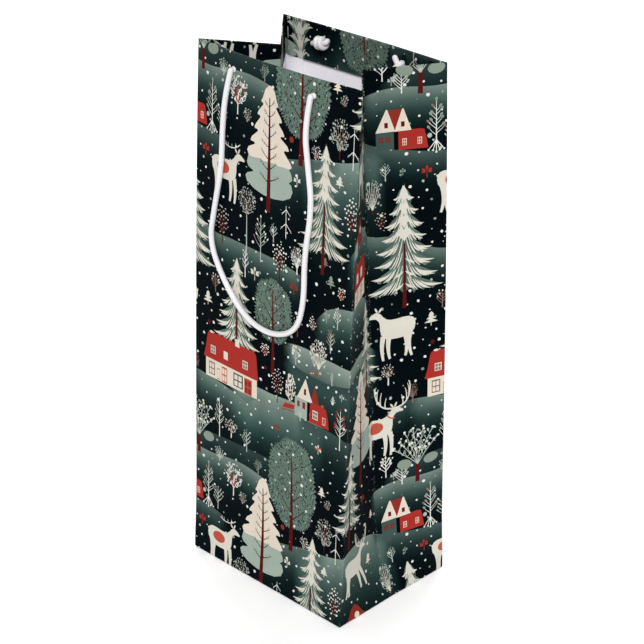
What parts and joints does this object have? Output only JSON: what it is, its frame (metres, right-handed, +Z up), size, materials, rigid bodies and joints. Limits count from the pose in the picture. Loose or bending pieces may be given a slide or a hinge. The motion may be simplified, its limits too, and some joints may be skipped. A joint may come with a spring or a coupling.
{
  "type": "wine gift bag",
  "caption": "Tall gusseted paper gift bag for a wine bottle, with a printed winter woodland wrap, stiffened mouth and hanging white cord handles.",
  "frame": {"origin": "middle of the base, on the surface that the bag stands on", "axes": "+Z up to the mouth, the front panel faces -Y, the right gusset is at +X"},
  "size_m": [0.132, 0.096, 0.3427],
  "materials": {
    "printed_paper": "satin coated art paper printed outside in navy, sage, cream, white and red, plain white inside",
    "white_card": "matt white folding box board",
    "grey_board": "matt pale chip board with a white liner",
    "white_cord": "smooth braided polyester, soft sheen"
  },
  "bodies": {
    "root": {"front_panel": "printed_paper", "rear_panel": "printed_paper", "left_gusset_front_half": "printed_paper", "left_gusset_rear_half": "printed_paper", "right_gusset_front_half": "printed_paper", "right_gusset_rear_half": "printed_paper", "seam_flap": "printed_paper", "front_hem": "printed_paper", "rear_hem": "printed_paper", "left_gusset_front_half_hem": "printed_paper", "left_gusset_rear_half_hem": "printed_paper", "right_gusset_front_half_hem": "printed_paper", "right_gusset_rear_half_hem": "printed_paper", "front_top_card": "white_card", "rear_top_card": "white_card", "base_flap_front": "printed_paper", "base_flap_rear": "printed_paper", "base_flap_left": "printed_paper", "base_flap_right": "printed_paper", "base_board": "grey_board", "front_knot_left": "white_cord", "front_knot_right": "white_cord", "rear_knot_left": "white_cord", "rear_knot_right": "white_cord"},
    "front_handle": {"front_handle_cord": "white_cord"},
    "rear_handle": {"rear_handle_cord": "white_cord"}
  },
  "joints": [
    {"name": "front_handle_swing", "type": "hinge", "parent": "root", "child": "front_handle", "pos_m": [0, -0.0406, 0.3325], "axis": [-1, 0, 0], "range_deg": [0, 175]},
    {"name": "rear_handle_swing", "type": "hinge", "parent": "root", "child": "rear_handle", "pos_m": [0, 0.0392, 0.3325], "axis": [1, 0, 0], "range_deg": [0, 175]}
  ]
}
